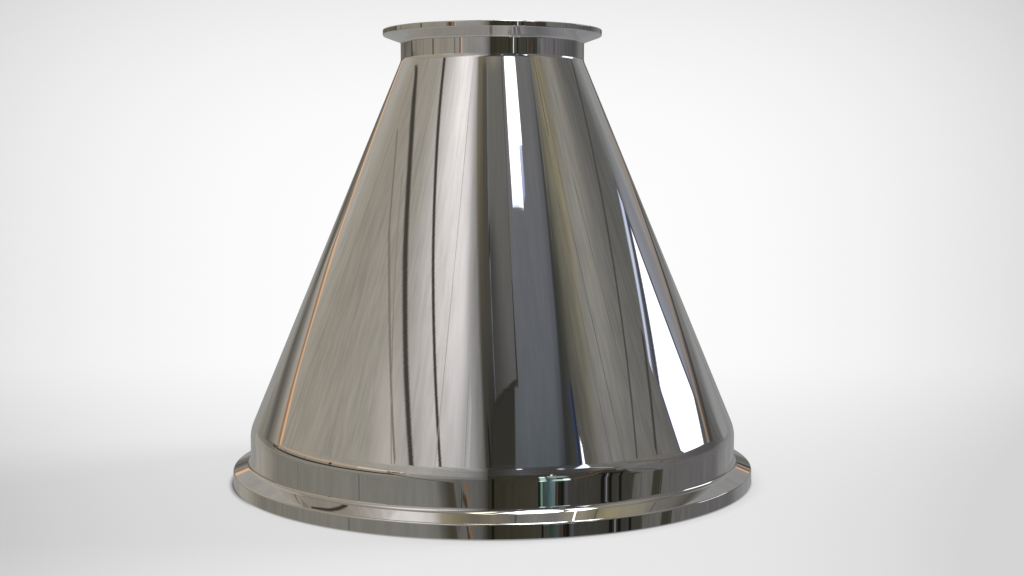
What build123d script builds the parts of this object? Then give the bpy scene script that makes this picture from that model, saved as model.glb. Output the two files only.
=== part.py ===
from build123d import *
from math import atan2, sqrt, radians, tan
import os

# Concentric pipe reducer with a hygienic clamp flange at each end, one piece of stainless steel
# that is round about the Z axis. The origin is the centre of the large end's sealing face, on
# which it stands, and +Z runs along the flow axis to the small end. Millimetres and degrees.

# Large end
LARGE_TUBE_OD = 203.2
LARGE_WALL = 2.77
# From the sealing face to the corner where the straight tube and the cone would meet
LARGE_STRAIGHT = 21.6
# How far the flange stands out from the tube
LARGE_FLANGE_REACH = 7.25
# Thickness of the flange at its rim, before the corner is rounded
LARGE_RIM = 5.7
LARGE_RIM_ROUNDING = 0.8
LARGE_BEVEL_FILLET = 2.2
# From the rim in to the middle of the gasket groove
LARGE_GROOVE_INSET = 4.35
# Outside radius of the bend from the straight tube into the cone
KNUCKLE_RADIUS = 14.0

# Small end
SMALL_TUBE_OD = 76.2
SMALL_WALL = 1.65
SMALL_STRAIGHT = 12.7
SMALL_FLANGE_REACH = 7.35
SMALL_RIM = 2.4
SMALL_RIM_ROUNDING = 0.6
SMALL_BEVEL_FILLET = 1.1
SMALL_GROOVE_INSET = 3.75
# Outside radius of the bend from the cone into the straight tube
NECK_RADIUS = 4.1

# Cone, along the axis between its two theoretical corners
CONE_LENGTH = 152.5

# Shared by both flanges: the slope of the back, the gasket groove and the broken edges
BEVEL_ANGLE = 20.0
GROOVE_RADIUS = 1.4
GROOVE_DEPTH = 0.8
GROOVE_LIP_ROUNDING = 0.2
FACE_EDGE_ROUNDING = 0.4
BORE_EDGE_ROUNDING = 0.25

# Worked out from the sizes above
LARGE_TUBE_R = LARGE_TUBE_OD / 2
SMALL_TUBE_R = SMALL_TUBE_OD / 2
LARGE_BORE_R = LARGE_TUBE_R - LARGE_WALL
SMALL_BORE_R = SMALL_TUBE_R - SMALL_WALL
LARGE_FLANGE_R = LARGE_TUBE_R + LARGE_FLANGE_REACH
SMALL_FLANGE_R = SMALL_TUBE_R + SMALL_FLANGE_REACH
CONE_BASE = LARGE_STRAIGHT
CONE_TOP = CONE_BASE + CONE_LENGTH
TOTAL_HEIGHT = CONE_TOP + SMALL_STRAIGHT
CONE_HALF_ANGLE = atan2(LARGE_TUBE_R - SMALL_TUBE_R, CONE_LENGTH)


def inner_corner_drop(wall):
    """How far a bend's inside corner lies below its outside corner, for an even wall."""
    return wall * tan(CONE_HALF_ANGLE / 2)


def bevel_rise(reach):
    """Height that the flange's sloping back gains from the rim in to the tube."""
    return reach * tan(radians(BEVEL_ANGLE))


def outside_corners():
    """Corners of the outside from the large face up to the small one: radius, height, rounding."""
    large_back = LARGE_RIM + bevel_rise(LARGE_FLANGE_REACH)
    small_rim_foot = TOTAL_HEIGHT - SMALL_RIM
    small_back = small_rim_foot - bevel_rise(SMALL_FLANGE_REACH)
    return [
        (LARGE_FLANGE_R, 0, FACE_EDGE_ROUNDING),
        (LARGE_FLANGE_R, LARGE_RIM, LARGE_RIM_ROUNDING),
        (LARGE_TUBE_R, large_back, LARGE_BEVEL_FILLET),
        (LARGE_TUBE_R, CONE_BASE, KNUCKLE_RADIUS),
        (SMALL_TUBE_R, CONE_TOP, NECK_RADIUS),
        (SMALL_TUBE_R, small_back, SMALL_BEVEL_FILLET),
        (SMALL_FLANGE_R, small_rim_foot, SMALL_RIM_ROUNDING),
        (SMALL_FLANGE_R, TOTAL_HEIGHT, FACE_EDGE_ROUNDING),
    ]


def inside_corners():
    """Corners of the flow passage from the small face down to the large one."""
    small_bend = CONE_TOP - inner_corner_drop(SMALL_WALL)
    large_bend = CONE_BASE - inner_corner_drop(LARGE_WALL)
    return [
        (SMALL_BORE_R, TOTAL_HEIGHT, BORE_EDGE_ROUNDING),
        (SMALL_BORE_R, small_bend, NECK_RADIUS + SMALL_WALL),
        (LARGE_BORE_R, large_bend, KNUCKLE_RADIUS - LARGE_WALL),
        (LARGE_BORE_R, 0, BORE_EDGE_ROUNDING),
    ]


def cut_gasket_groove(section, middle, face, into_metal):
    """Sink a round-bottomed groove into a sealing face and round its two lips.

    middle is the groove's radius from the axis, face the height of the sealing face, and
    into_metal +1 or -1, the way from the face into the metal.
    """
    centre_height = face - into_metal * (GROOVE_RADIUS - GROOVE_DEPTH)
    with Locations((middle, centre_height)):
        Circle(GROOVE_RADIUS, mode=Mode.SUBTRACT)
    half_width = sqrt(GROOVE_RADIUS**2 - (GROOVE_RADIUS - GROOVE_DEPTH) ** 2)
    lips = [
        section.vertices().sort_by_distance((middle + side * half_width, face))[0]
        for side in (-1, 1)
    ]
    fillet(lips, GROOVE_LIP_ROUNDING)


def wall_section():
    """Half section of the wall in the XZ plane, with a gasket groove in each sealing face."""
    corners = outside_corners() + inside_corners()
    points = [(radius, height) for radius, height, rounding in corners]
    roundings = [rounding for radius, height, rounding in corners]
    with BuildSketch(Plane.XZ) as section:
        with BuildLine():
            FilletPolyline(*points, radius=roundings, close=True)
        make_face()
        cut_gasket_groove(section, LARGE_FLANGE_R - LARGE_GROOVE_INSET, 0, 1)
        cut_gasket_groove(section, SMALL_FLANGE_R - SMALL_GROOVE_INSET, TOTAL_HEIGHT, -1)
    return section.sketch


def make_reducer_body():
    """The whole reducer: its wall section turned once round the flow axis."""
    body = revolve(wall_section(), axis=Axis.Z)
    body.label = "reducer_body"
    return body


os.makedirs("parts", exist_ok=True)
export_step(make_reducer_body(), "parts/reducer_body.step")
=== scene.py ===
from math import acos, atan2, ceil, cos, pi, radians, sin, sqrt, tan

import bpy
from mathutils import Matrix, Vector


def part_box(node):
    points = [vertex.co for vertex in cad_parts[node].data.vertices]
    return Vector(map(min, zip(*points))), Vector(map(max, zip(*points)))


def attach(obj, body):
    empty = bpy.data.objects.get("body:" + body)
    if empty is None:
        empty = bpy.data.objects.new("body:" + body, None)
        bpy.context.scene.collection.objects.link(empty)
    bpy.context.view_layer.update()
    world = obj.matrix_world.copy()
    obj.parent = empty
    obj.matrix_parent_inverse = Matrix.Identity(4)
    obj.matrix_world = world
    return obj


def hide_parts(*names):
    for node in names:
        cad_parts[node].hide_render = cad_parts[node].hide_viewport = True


# Looks of a concentric pipe reducer in mirror-polished stainless steel, standing on its large
# end on a plain pale floor. Metres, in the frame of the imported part, +Z up the flow axis.

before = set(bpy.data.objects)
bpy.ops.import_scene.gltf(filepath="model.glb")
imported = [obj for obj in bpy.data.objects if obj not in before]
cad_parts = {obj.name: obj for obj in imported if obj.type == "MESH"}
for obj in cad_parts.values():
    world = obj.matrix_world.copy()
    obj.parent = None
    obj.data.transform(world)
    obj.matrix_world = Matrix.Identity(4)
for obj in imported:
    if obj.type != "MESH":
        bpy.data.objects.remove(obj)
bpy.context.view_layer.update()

# Camera, at the photograph's viewing angle
CAMERA_PLACE = (0.00815, -0.5986, 0.13296)
CAMERA_PITCH = radians(-5.117)
CAMERA_LENS = 50.0
CAMERA_SENSOR = 36.0
CAMERA_REACH = 100.0

# Sizes of the reducer, as in its solid. Its widest radius and its height come from the frame.
LARGE_TUBE_R = 0.1016
LARGE_WALL = 0.00277
LARGE_STRAIGHT = 0.0216
LARGE_FLANGE_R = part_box("reducer_body")[1].x
LARGE_RIM = 0.0057
LARGE_RIM_ROUNDING = 0.0008
LARGE_BEVEL_FILLET = 0.0022
LARGE_GROOVE_INSET = 0.00435
KNUCKLE_RADIUS = 0.014
SMALL_TUBE_R = 0.0381
SMALL_WALL = 0.00165
SMALL_FLANGE_REACH = 0.00735
SMALL_RIM = 0.0024
SMALL_RIM_ROUNDING = 0.0006
SMALL_BEVEL_FILLET = 0.0011
SMALL_GROOVE_INSET = 0.00375
NECK_RADIUS = 0.0041
CONE_LENGTH = 0.1525
BEVEL_ANGLE = radians(20)
GROOVE_RADIUS = 0.0014
GROOVE_DEPTH = 0.0008
GROOVE_LIP_ROUNDING = 0.0002
FACE_EDGE_ROUNDING = 0.0004
BORE_EDGE_ROUNDING = 0.00025
TOTAL_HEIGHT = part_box("reducer_body")[1].z

# Fineness of the turned mesh: steps round the axis, and how far a bend turns in one step
TURN_STEPS = 720
BEND_STEP = radians(9)
FEWEST_BEND_STEPS = 6
TIGHT_BEND_STEP = radians(15)
TIGHT_RADIUS = 0.0005

# Reflectance of the polished steel, straight on. Its noise runs over the middle tones, between
# which the steel's shade and roughness change.
STEEL = (0.80, 0.79, 0.77)
MIDDLE_TONES = (0.3, 0.7)
STEEL_SHADES = (0.98, 1.02)
STEEL_ROUGHNESS = (0.012, 0.024)
# Noise of the polish: fineness of its lines and patches, the lines' share, and its bump
LINES_ALONG = 900.0
LINES_ROUND = 2.2
BROAD_PATCHES = 26.0
LINES_SHARE = 0.35
POLISH_BUMP = 0.02
POLISH_DEPTH = 0.0001


def linear(level):
    """Linear value of a display level from 0 to 1."""
    return level / 12.92 if level <= 0.04045 else ((level + 0.055) / 1.055) ** 2.4


def display(red, green, blue):
    """Linear colour of a display colour written from 0 to 255."""
    return tuple(linear(c / 255) for c in (red, green, blue))


# Outline of the wall

def arc(middle, radius, start, turn, facing):
    """Points of a bend with their normals: (radius, height, normal out, normal up).

    start and turn are angles round the bend's middle, and facing is +1 where the metal lies
    inside the bend and -1 where it lies outside.
    """
    if radius < TIGHT_RADIUS:
        steps = round(abs(turn) / TIGHT_BEND_STEP)
    else:
        steps = max(FEWEST_BEND_STEPS, round(abs(turn) / BEND_STEP))
    points = []
    for i in range(steps + 1):
        angle = start + turn * i / steps
        out, up = cos(angle), sin(angle)
        points.append((middle[0] + radius * out, middle[1] + radius * up, facing * out, facing * up))
    return points


def rounded_corner(before, corner, after, rounding):
    """The bend that rounds one corner of the outline, which runs with the metal on its left."""
    arriving = (Vector(corner) - Vector(before)).normalized()
    leaving = (Vector(after) - Vector(corner)).normalized()
    side = 1 if arriving.x * leaving.y - arriving.y * leaving.x > 0 else -1
    turn = side * acos(arriving.dot(leaving))
    start = Vector(corner) - arriving * rounding * tan(abs(turn) / 2)
    middle = start + Vector((-arriving.y, arriving.x)) * side * rounding
    first = start - middle
    return arc(middle, rounding, atan2(first.y, first.x), turn, side)


def gasket_groove(radius, face, into_metal):
    """The round-bottomed groove of a sealing face with its two rounded lips.

    into_metal is +1 where the metal lies above the face and -1 where it lies below.
    """
    centre = (radius, face - into_metal * (GROOVE_RADIUS - GROOVE_DEPTH))
    lip_height = face + into_metal * GROOVE_LIP_ROUNDING
    lip_rise = abs(lip_height - centre[1])
    lip_offset = sqrt((GROOVE_RADIUS + GROOVE_LIP_ROUNDING) ** 2 - lip_rise**2)
    lean = atan2(lip_rise, lip_offset)
    # The outline runs outwards along the large face and inwards along the small one
    way = into_metal
    toward = -pi / 2 * into_metal
    opening_angle = pi / 2 - lean
    first_middle = (radius - way * lip_offset, lip_height)
    first = arc(first_middle, GROOVE_LIP_ROUNDING, toward, opening_angle, 1)
    bottom_start = pi - lean if way > 0 else -lean
    bottom = arc(centre, GROOVE_RADIUS, bottom_start, -(pi - 2 * lean), -1)
    last_middle = (radius + way * lip_offset, lip_height)
    last = arc(last_middle, GROOVE_LIP_ROUNDING, toward - opening_angle, opening_angle, 1)
    return first + bottom[1:-1] + last


def wall_outline():
    """Closed outline of the wall's half section, with the metal on its left all the way round."""
    height = TOTAL_HEIGHT
    cone_top = LARGE_STRAIGHT + CONE_LENGTH
    half_angle = atan2(LARGE_TUBE_R - SMALL_TUBE_R, CONE_LENGTH)
    small_flange_r = SMALL_TUBE_R + SMALL_FLANGE_REACH
    large_bore, small_bore = LARGE_TUBE_R - LARGE_WALL, SMALL_TUBE_R - SMALL_WALL
    large_back = LARGE_RIM + (LARGE_FLANGE_R - LARGE_TUBE_R) * tan(BEVEL_ANGLE)
    small_rim_foot = height - SMALL_RIM
    small_back = small_rim_foot - SMALL_FLANGE_REACH * tan(BEVEL_ANGLE)
    corners = [
        (LARGE_FLANGE_R, 0, FACE_EDGE_ROUNDING),
        (LARGE_FLANGE_R, LARGE_RIM, LARGE_RIM_ROUNDING),
        (LARGE_TUBE_R, large_back, LARGE_BEVEL_FILLET),
        (LARGE_TUBE_R, LARGE_STRAIGHT, KNUCKLE_RADIUS),
        (SMALL_TUBE_R, cone_top, NECK_RADIUS),
        (SMALL_TUBE_R, small_back, SMALL_BEVEL_FILLET),
        (small_flange_r, small_rim_foot, SMALL_RIM_ROUNDING),
        (small_flange_r, height, FACE_EDGE_ROUNDING),
        (small_bore, height, BORE_EDGE_ROUNDING),
        (small_bore, cone_top - SMALL_WALL * tan(half_angle / 2), NECK_RADIUS + SMALL_WALL),
        (large_bore, LARGE_STRAIGHT - LARGE_WALL * tan(half_angle / 2), KNUCKLE_RADIUS - LARGE_WALL),
        (large_bore, 0, BORE_EDGE_ROUNDING),
    ]
    small_face_groove = gasket_groove(small_flange_r - SMALL_GROOVE_INSET, height, -1)
    large_face_groove = gasket_groove(LARGE_FLANGE_R - LARGE_GROOVE_INSET, 0, 1)
    outline = []
    for i, (radius, level, rounding) in enumerate(corners):
        before, after = corners[i - 1], corners[(i + 1) % len(corners)]
        outline += rounded_corner(before[:2], (radius, level), after[:2], rounding)
        if (radius, level) == (small_flange_r, height):
            outline += small_face_groove
        if (radius, level) == (large_bore, 0):
            outline += large_face_groove
    return outline


def new_mesh(name, vertices, faces):
    mesh = bpy.data.meshes.new(name)
    mesh.from_pydata(vertices, [], faces)
    return mesh


def placed(name, data):
    """A new object of the scene."""
    piece = bpy.data.objects.new(name, data)
    bpy.context.scene.collection.objects.link(piece)
    return piece


def turned_body(name, outline):
    """A mesh turned round the Z axis from a closed outline, with the outline's own normals."""
    vertices, normals, faces = [], [], []
    rings = len(outline)
    for step in range(TURN_STEPS):
        # Half a step of offset keeps the rims inside the solid's own box
        angle = 2 * pi * (step + 0.5) / TURN_STEPS
        c, s = cos(angle), sin(angle)
        for radius, height, out, up in outline:
            vertices.append((radius * c, radius * s, height))
            normals.append((out * c, out * s, up))
        here, ahead = step * rings, (step + 1) % TURN_STEPS * rings
        for ring in range(rings):
            above = (ring + 1) % rings
            faces.append((here + ring, ahead + ring, ahead + above, here + above))
    mesh = new_mesh(name, vertices, faces)
    mesh.shade_smooth()
    mesh.normals_split_custom_set_from_vertices(normals)
    return placed(name, mesh)


# Materials

class Shader:
    """The new node tree of a material or world, with short calls for the nodes used here."""

    def __init__(self, owner):
        owner.use_nodes = True
        self.owner = owner
        self.tree = owner.node_tree
        self.tree.nodes.clear()

    def finish(self, surface):
        """Give the owner this surface, and return the owner."""
        kind = "World" if isinstance(self.owner, bpy.types.World) else "Material"
        self.node(f"ShaderNodeOutput{kind}", {"Surface": surface})
        return self.owner

    def node(self, kind, inputs=(), **settings):
        node = self.tree.nodes.new(kind)
        for key, value in settings.items():
            setattr(node, key, value)
        for key, value in dict(inputs).items():
            self.set(node.inputs[key], value)
        return node

    def set(self, socket, value):
        if isinstance(value, bpy.types.NodeSocket):
            self.tree.links.new(value, socket)
        else:
            socket.default_value = value

    def math(self, operation, *values, clamp=False):
        node = self.node("ShaderNodeMath", operation=operation, use_clamp=clamp)
        for socket, value in zip(node.inputs, values):
            self.set(socket, value)
        return node.outputs[0]

    def plus(self, first, second, **settings):
        return self.math("ADD", first, second, **settings)

    def minus(self, first, second):
        return self.math("SUBTRACT", first, second)

    def times(self, first, second):
        return self.math("MULTIPLY", first, second)

    def length(self, x, y):
        return self.math("SQRT", self.plus(self.times(x, x), self.times(y, y)))

    def smooth(self, value, low, high, to_low=0.0, to_high=1.0):
        """Smooth step of a value from low to high."""
        inputs = {"Value": value, "From Min": low, "From Max": high, "To Min": to_low, "To Max": to_high}
        node = self.node("ShaderNodeMapRange", inputs, interpolation_type="SMOOTHSTEP")
        return node.outputs["Result"]

    def mix(self, factor, first, second, blend="MIX"):
        node = self.node("ShaderNodeMix", data_type="RGBA", blend_type=blend)
        for socket, value in ((node.inputs[0], factor), (node.inputs[6], first), (node.inputs[7], second)):
            if isinstance(value, tuple) and len(value) == 3:
                value = (*value, 1.0)
            self.set(socket, value)
        return node.outputs[2]

    def ramp(self, factor, stops):
        """Colours along a value. stops are (place, colour)."""
        node = self.node("ShaderNodeValToRGB", {"Fac": factor})
        elements = node.color_ramp.elements
        while len(elements) < len(stops):
            elements.new(0.5)
        for element, (place, colour) in zip(elements, stops):
            element.position = place
            element.color = (*colour, 1.0)
        return node.outputs["Color"]

    def noise(self, vector, scale, detail=4.0, roughness=0.5):
        inputs = {"Vector": vector, "Scale": scale, "Detail": detail, "Roughness": roughness}
        return self.node("ShaderNodeTexNoise", inputs).outputs[0]

    def split(self, vector):
        return self.node("ShaderNodeSeparateXYZ", {"Vector": vector}).outputs

    def join(self, x, y, z):
        return self.node("ShaderNodeCombineXYZ", {"X": x, "Y": y, "Z": z}).outputs[0]

    def grey(self, level):
        return self.join(level, level, level)

    def emission(self, colour):
        return self.node("ShaderNodeEmission", {"Color": colour}).outputs[0]

    def diffuse(self, tint):
        return self.node("ShaderNodeBsdfDiffuse", {"Color": (tint, tint, tint, 1)}).outputs[0]

    def between(self, factor, first, second):
        """A mix of two shaders, the second where the factor is 1."""
        return self.node("ShaderNodeMixShader", {0: factor, 1: first, 2: second}).outputs[0]


def polished_steel():
    """Mirror-polished stainless steel with the faint turned lines that the polish leaves."""
    s = Shader(bpy.data.materials.new("polished_steel"))
    place = s.node("ShaderNodeTexCoord").outputs["Object"]
    x, y, z = s.split(place)
    # Polishing lines run round the axis, so they change fast along the wall and slowly round it
    out = s.times(s.length(x, y), LINES_ALONG)
    up = s.times(z, LINES_ALONG)
    turned = s.times(s.math("ARCTAN2", y, x), LINES_ROUND)
    lines = s.noise(s.join(out, up, turned), 1.0, detail=3.0)
    patches = s.noise(place, BROAD_PATCHES, detail=5.0)
    tone = s.plus(s.times(lines, LINES_SHARE), s.times(patches, 1 - LINES_SHARE))
    shades = [tuple(shade * c for c in STEEL) for shade in STEEL_SHADES]
    colour = s.ramp(tone, list(zip(MIDDLE_TONES, shades)))
    roughness = s.smooth(tone, *MIDDLE_TONES, *STEEL_ROUGHNESS)
    bump = s.node("ShaderNodeBump", {"Height": tone, "Strength": POLISH_BUMP, "Distance": POLISH_DEPTH})
    inputs = {"Base Color": colour, "Metallic": 1.0, "Roughness": roughness, "Normal": bump.outputs[0]}
    return s.finish(s.node("ShaderNodeBsdfPrincipled", inputs).outputs[0])


# Surroundings that the steel mirrors: glowing patches round the part, with a room's light and shade painted
# into their glow

# The mirrored hall is turned about the vertical: its far end lies this far right of the camera
HALL_TURN = radians(21.8)
HALL_CENTRE = Vector((0, 0, 0.1))
HALL_RADIUS = 40.0
# Patches lie on spheres, each layer this share nearer than the one behind it. The longest step
# of a patch's mesh is in places of its side, and that of a ring in degrees.
LAYER_STEP = 0.01
PATCH_STEP = 0.05
RING_STEP = 3.0
# How much brighter than white the nearest ceiling lamps glow
LAMP_GAIN = 3.0
# The place to which the walls run down, below the part's own level
FLOOR_LINE = -1.2
# Mottle of the walls: noise cells over the hall's radius, and the noise's own range
BROAD_MOTTLE = 4.0
BROAD_RANGE = (0.3, 0.7)
FINE_MOTTLE = 30.0
FINE_RANGE = (0.25, 0.75)
# The sphere behind all patches: its size, and its colours below and above the rise between them
BACKING_SCALE = 1.02
BACKING_RISE = (-0.22, 0.02)
BACKING_BELOW = (162, 158, 152)
BACKING_ABOVE = (150, 145, 134)

UP = Vector((0, 0, 1))
FARWARD = Vector((sin(HALL_TURN), -cos(HALL_TURN), 0))
RIGHTWARD = Vector((cos(HALL_TURN), sin(HALL_TURN), 0))


def way_to(azimuth, elevation):
    """The way to an azimuth right of the camera and an elevation, in degrees."""
    a, e = radians(azimuth), radians(elevation)
    return Vector((sin(a) * cos(e), -cos(a) * cos(e), sin(e)))


def mirrored(red, green, blue, gain=1.0, bounces=1):
    """Light that a surface gives off so that the steel shows it in this display colour."""
    return tuple(gain * c / metal**bounces for c, metal in zip(display(red, green, blue), STEEL))


def hidden_from_all_but_metal(piece):
    """Only what the steel mirrors shows the piece: it lights nothing and the camera misses it."""
    for ray in ("camera", "diffuse", "transmission", "shadow", "volume_scatter"):
        setattr(piece, f"visible_{ray}", False)


def grid(name, columns, rows, direction_at, layer):
    """A grid of faces on a sphere round the part; each layer lies just inside the one behind.

    direction_at gives the way to a place of the grid, whose UV map runs from 0 to 1 both ways.
    """
    radius = HALL_RADIUS * (1 - LAYER_STEP * layer)
    places = [(i / columns, j / rows) for j in range(rows + 1) for i in range(columns + 1)]
    vertices = [HALL_CENTRE + direction_at(u, v).normalized() * radius for u, v in places]
    faces = [
        (k, k + 1, k + columns + 2, k + columns + 1)
        for j in range(rows)
        for k in range(j * (columns + 1), j * (columns + 1) + columns)
    ]
    mesh = new_mesh(name, vertices, faces)
    uv = mesh.uv_layers.new(name="patch")
    for loop in mesh.loops:
        uv.data[loop.index].uv = places[loop.vertex_index]
    piece = placed(name, mesh)
    hidden_from_all_but_metal(piece)
    return piece


def glowing(name, stops, soft=0, round_edge=False, grain=0.0, opacity=1.0):
    """Glowing paint for a patch: colours along it, soft edges and the mottle of a real wall.

    soft is the share of the patch over which its edges fade, or one share each for its start,
    end, lower and upper edge.
    """
    s = Shader(bpy.data.materials.new(name))
    u, v, _ = s.split(s.node("ShaderNodeUVMap", uv_map="patch").outputs[0])
    colour = s.ramp(u, stops)
    if grain:
        place = s.node("ShaderNodeNewGeometry").outputs["Position"]
        broad = s.noise(place, BROAD_MOTTLE / HALL_RADIUS, detail=3.0)
        fine = s.noise(place, FINE_MOTTLE / HALL_RADIUS, roughness=0.6)
        broad = s.smooth(broad, *BROAD_RANGE, 1 - grain / 2, 1 + grain / 2)
        level = s.plus(broad, s.smooth(fine, *FINE_RANGE, -grain, grain))
        colour = s.mix(1.0, colour, s.grey(level), blend="MULTIPLY")
    light = s.emission(colour)
    cover = None
    if round_edge:
        across, upward = (s.times(s.minus(value, 0.5), 2.0) for value in (u, v))
        cover = s.smooth(s.length(across, upward), 1.0, 0.0)
    else:
        widths = soft if isinstance(soft, tuple) else (soft,) * 4
        for value, edge, width in zip((u, u, v, v), (0.0, 1.0, 0.0, 1.0), widths):
            if width:
                fade = s.smooth(value, edge, abs(edge - width))
                cover = fade if cover is None else s.times(cover, fade)
    if opacity < 1:
        cover = s.times(1.0 if cover is None else cover, opacity)
    if cover is not None:
        light = s.between(cover, s.node("ShaderNodeBsdfTransparent").outputs[0], light)
    s.owner.cycles.emission_sampling = "NONE"
    return s.finish(light)


class Side:
    """A side of the hall, with calls that place glowing patches on it.

    A place on it has two coordinates, along and across: the offset that way divided by the
    distance to the side. Its patches' names begin with its prefix.
    """

    def __init__(self, prefix, ahead, along, across):
        self.prefix = prefix
        self.ahead, self.along, self.across = ahead, along, across

    def panel(self, name, corners, colours, layer, gain=1.0, **paint):
        """A glowing panel with four corners.

        colours is one colour, or several as (place along, red, green, blue).
        """
        if not isinstance(colours[0], tuple):
            colours = [(0, *colours), (1, *colours)]
        a, b, c, d = (Vector(corner) for corner in corners)
        columns = max(1, ceil(max((b - a).length, (c - d).length) / PATCH_STEP))
        rows = max(1, ceil(max((d - a).length, (c - b).length) / PATCH_STEP))

        def direction_at(u, v):
            p = a.lerp(b, u).lerp(d.lerp(c, u), v)
            return self.ahead + self.along * p.x + self.across * p.y

        name = f"{self.prefix}_{name}" if name else self.prefix
        piece = grid(name, columns, rows, direction_at, layer)
        stops = [(place, mirrored(*colour, gain=gain)) for place, *colour in colours]
        piece.data.materials.append(glowing(name, stops, **paint))

    def course(self, name, low, high, colours, layer, soft_low=0.0, soft_high=0.0, grain=0.08):
        """A level band. colours are (offset along, red, green, blue)."""
        start, end = colours[0][0], colours[-1][0]
        corners = [(start, low), (end, low), (end, high), (start, high)]
        along = [((offset - start) / (end - start), *colour) for offset, *colour in colours]
        self.panel(name, corners, along, layer, soft=(0, 0, soft_low, soft_high), grain=grain)

    def strip(self, name, low, high, foot, head, width, colour, layer, **paint):
        """A strip between two heights, from the middle of its foot to the middle of its head."""
        reach = width / 2
        corners = [(foot - reach, low), (foot + reach, low), (head + reach, high), (head - reach, high)]
        self.panel(name, corners, colour, layer, **paint)

    def posts(self, name, low, high, rows, layer, soft=0.2, soft_ends=0.0):
        """Upright posts, gaps and joints: middle, width and colour of each."""
        soft_edges = (soft, soft, soft_ends, soft_ends)
        for i, (middle, width, *colour) in enumerate(rows):
            self.strip(f"{name}_{i}", low, high, middle, middle, width, colour, layer, soft=soft_edges)

    def glow(self, name, middle, reach, colour, layer, opacity=1.0, grain=0.05):
        """A soft round pool of light."""
        (x, y), (aside, above) = middle, reach
        self.strip(name, y - above, y + above, x, x, 2 * aside, colour, layer,
                   round_edge=True, opacity=opacity, grain=grain)

    def rail(self, name, points, colour, layer, soft=0.3):
        """A thin rail through a few points: offset, height and thickness."""
        for i, ((a, height_a, thick_a), (b, height_b, thick_b)) in enumerate(zip(points, points[1:])):
            corners = [
                (a, height_a - thick_a / 2), (b, height_b - thick_b / 2),
                (b, height_b + thick_b / 2), (a, height_a + thick_a / 2),
            ]
            self.panel(f"{name}_{i}", corners, colour, layer, soft=(0, 0, soft, soft))


def ring(name, low, high, colours, layer, soft_low=0.0, soft_high=0.0, grain=0.05):
    """A ring between two elevations, which the steel shows after two bounces.

    low and high give each elevation at the ring's start and end, and colours are (azimuth right
    of the camera, red, green, blue). All angles are in degrees.
    """
    start, end = colours[0][0], colours[-1][0]

    def direction_at(u, v):
        bottom, top = low[0] + (low[1] - low[0]) * u, high[0] + (high[1] - high[0]) * u
        return way_to(start + (end - start) * u, bottom + (top - bottom) * v)

    columns, rows = ceil((end - start) / RING_STEP), ceil((high[0] - low[0]) / RING_STEP)
    piece = grid(name, columns, rows, direction_at, layer)
    along = [((azimuth - start) / (end - start), *colour) for azimuth, *colour in colours]
    stops = [(place, mirrored(*colour, bounces=2)) for place, *colour in along]
    piece.data.materials.append(glowing(name, stops, soft=(0, 0, soft_low, soft_high), grain=grain))


LEFT = Side("left", -RIGHTWARD, FARWARD, UP)
RIGHT = Side("right", RIGHTWARD, -FARWARD, UP)
WINDOW = Side("window", RIGHTWARD, -FARWARD, UP)
FAR = Side("far", FARWARD, RIGHTWARD, UP)
NEAR = Side("near", -FARWARD, -RIGHTWARD, UP)
CEILING = Side("ceiling", UP, RIGHTWARD, FARWARD)
LAMP = Side("lamp", UP, RIGHTWARD, FARWARD)


def backing_glow():
    s = Shader(bpy.data.materials.new("hall_backing"))
    z = s.split(s.node("ShaderNodeNewGeometry").outputs["Position"])[2]
    level = s.smooth(z, *(share * HALL_RADIUS for share in BACKING_RISE))
    colour = s.mix(level, mirrored(*BACKING_BELOW), mirrored(*BACKING_ABOVE))
    s.owner.cycles.emission_sampling = "NONE"
    return s.finish(s.emission(colour))


def backing_sphere():
    """What the steel mirrors between the panels: pale floor below, dim grey above."""
    bpy.ops.mesh.primitive_uv_sphere_add(
        segments=64, ring_count=32, radius=HALL_RADIUS * BACKING_SCALE, location=HALL_CENTRE
    )
    sphere = bpy.context.object
    sphere.name = "hall_backing"
    sphere.data.materials.append(backing_glow())
    hidden_from_all_but_metal(sphere)


def hall_floor():
    """Pale floor round the part, seen where the underside of the small flange mirrors it."""
    ring("hall_floor", (-89, -89), (-17, -17), [(-180, 124, 123, 119), (-160, 126, 125, 120),
        (-120, 137, 132, 124), (-90, 131, 127, 120), (-10, 133, 129, 125), (4, 136, 133, 128),
        (25, 150, 146, 142), (45, 126, 124, 123), (54, 107, 104, 104), (72, 97, 96, 97), (95, 116, 114, 118),
        (125, 126, 124, 125), (155, 112, 112, 112), (180, 120, 120, 118)], 9, soft_high=0.03)
    for start, end, *colour in [(-4, 1, 104, 99, 95), (32, 36, 98, 94, 93), (38, 43, 98, 94, 94)]:
        ends = [(start, *colour), (end, *colour)]
        ring(f"hall_floor_gap_{start}", (-60, -60), (-30, -30), ends, 10)


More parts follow.
